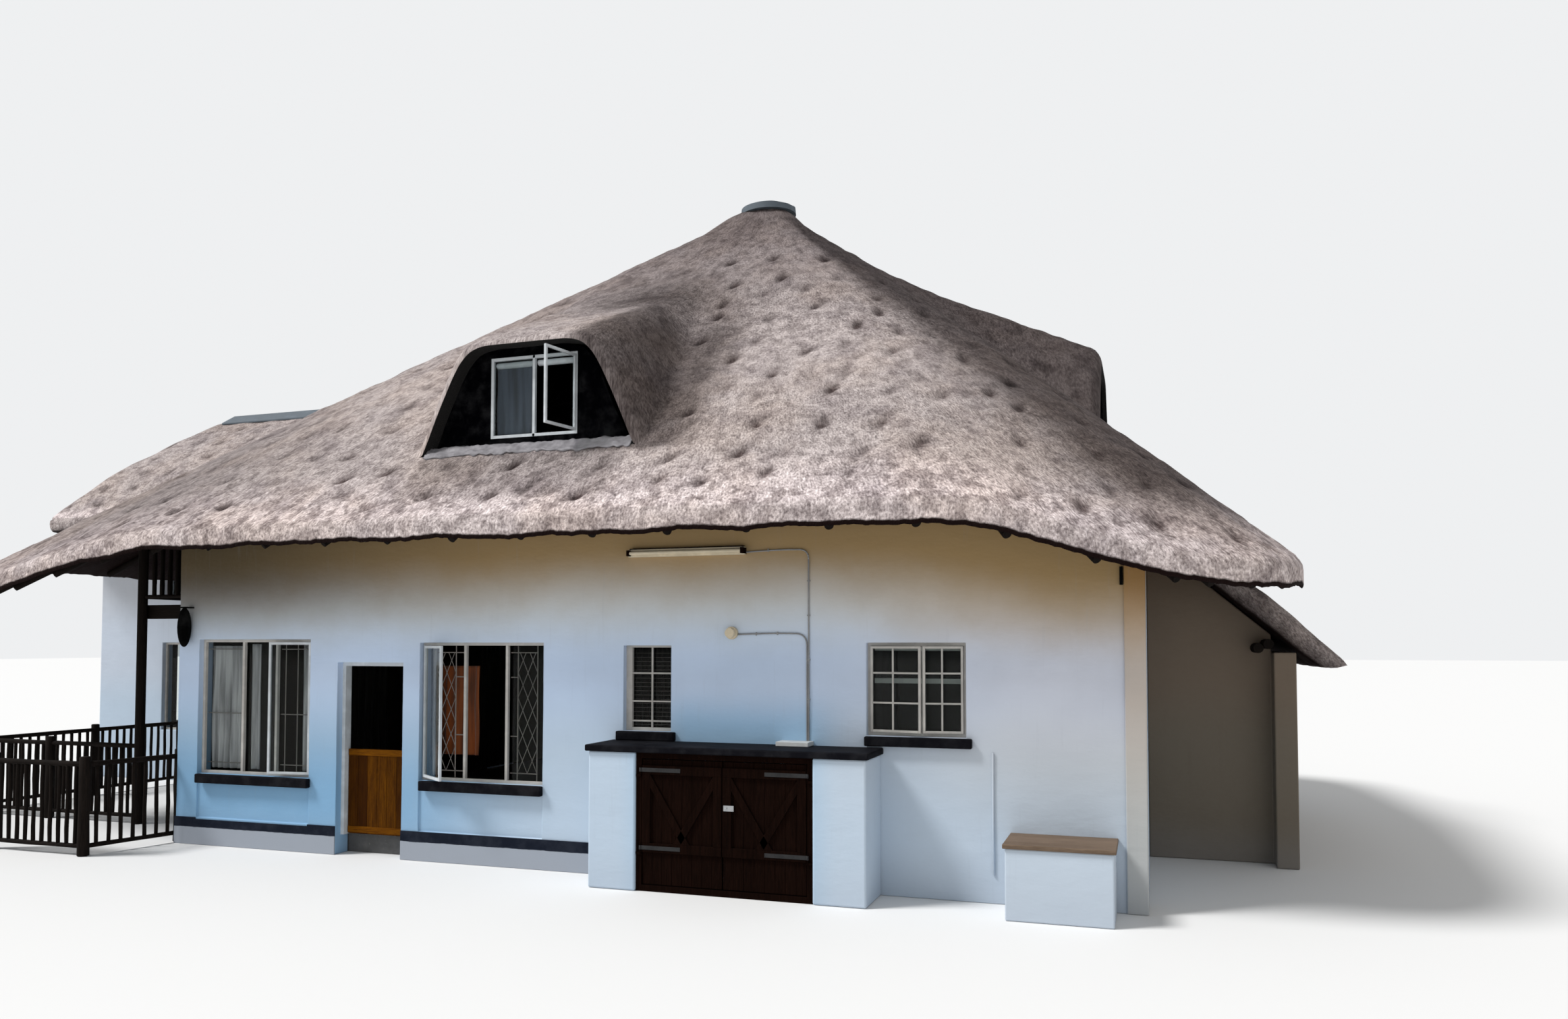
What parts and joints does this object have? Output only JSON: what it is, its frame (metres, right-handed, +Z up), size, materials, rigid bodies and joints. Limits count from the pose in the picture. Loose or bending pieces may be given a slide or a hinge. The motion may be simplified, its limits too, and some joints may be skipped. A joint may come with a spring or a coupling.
{
  "type": "thatched rondavel house",
  "caption": "White plastered house under a swept thatched roof with a single apex, eyebrow dormers, a stable door and a walled store in front.",
  "frame": {"origin": "on the underside of the floor slab, straight below the apex of the roof", "axes": "+Z up, +X to the right along the front wall, the front faces -Y"},
  "size_m": [21.36, 11.8625, 9.2459],
  "materials": {
    "white_plaster": "matt limewashed plaster on brick",
    "dark_paint": "satin black-blue paint on plaster and boards",
    "thatch": "weathered grey reed thatch",
    "creosoted_pole": "dark creosoted pole",
    "white_steel": "white gloss paint on steel window sections",
    "varnished_wood": "orange-brown varnished boards",
    "brown_wood": "dark brown stained boards",
    "clear_glass": "clear window glass",
    "concrete": "floated concrete floor",
    "white_plastic": "white plastic fittings and conduit",
    "grey_metal": "dull grey sheet flashing"
  },
  "bodies": {
    "root": {"floor_slab": "concrete", "front_wall_left": "white_plaster", "front_wall_over_door": "white_plaster", "front_wall_right": "white_plaster", "left_wall": "white_plaster", "right_wall": "white_plaster", "back_wall": "white_plaster", "corner_pilaster": "white_plaster", "wall_skirting": "dark_paint", "window_sills": "dark_paint", "left_window_frame": "white_steel", "middle_window_frame": "white_steel", "small_window_frame": "white_steel", "right_window_frame": "white_steel", "rear_window_frames": "white_steel", "open_sashes": "white_steel", "window_glass": "clear_glass", "door_frame": "white_steel", "stable_door_upper": "varnished_wood", "loft_floor": "creosoted_pole", "thatch_right": "thatch", "thatch_front_right": "thatch", "thatch_front": "thatch", "thatch_left": "thatch", "thatch_back_left": "thatch", "thatch_back_right": "thatch", "apex_cap": "dark_paint", "rafter_poles": "creosoted_pole", "front_dormer_face": "dark_paint", "front_dormer_window": "white_steel", "dormer_flashing": "grey_metal", "right_dormer_face": "dark_paint", "store_piers": "white_plaster", "store_top_slab": "dark_paint", "store_door_frame": "brown_wood", "wall_lights": "white_plastic", "conduit_and_pipes": "white_plastic", "low_box": "white_plaster", "low_box_lid": "varnished_wood", "lean_to_walls": "white_plaster", "lean_to_thatch": "thatch", "wing_front_wall": "white_plaster", "wing_back_wall": "white_plaster", "wing_end_wall": "white_plaster", "wing_thatch": "thatch", "wing_ridge_cap": "dark_paint", "balcony_floor": "creosoted_pole", "balcony_posts": "creosoted_pole", "balcony_rails": "creosoted_pole", "yard_rails": "creosoted_pole", "terrace_rails": "creosoted_pole", "wall_lantern": "creosoted_pole"},
    "stable_leaf": {"stable_door_lower": "varnished_wood"},
    "store_left_leaf": {"store_door_left": "brown_wood"},
    "store_right_leaf": {"store_door_right": "brown_wood"}
  },
  "joints": [
    {"name": "stable_door_swing", "type": "hinge", "parent": "root", "child": "stable_leaf", "pos_m": [-2.7585, -4.798, 0.7], "axis": [0, 0, -1], "range_deg": [0, 95]},
    {"name": "store_left_swing", "type": "hinge", "parent": "root", "child": "store_left_leaf", "pos_m": [0.597, -5.583, 0.7], "axis": [0, 0, -1], "range_deg": [0, 110]},
    {"name": "store_right_swing", "type": "hinge", "parent": "root", "child": "store_right_leaf", "pos_m": [2.353, -5.583, 0.7], "axis": [0, 0, 1], "range_deg": [0, 110]}
  ]
}
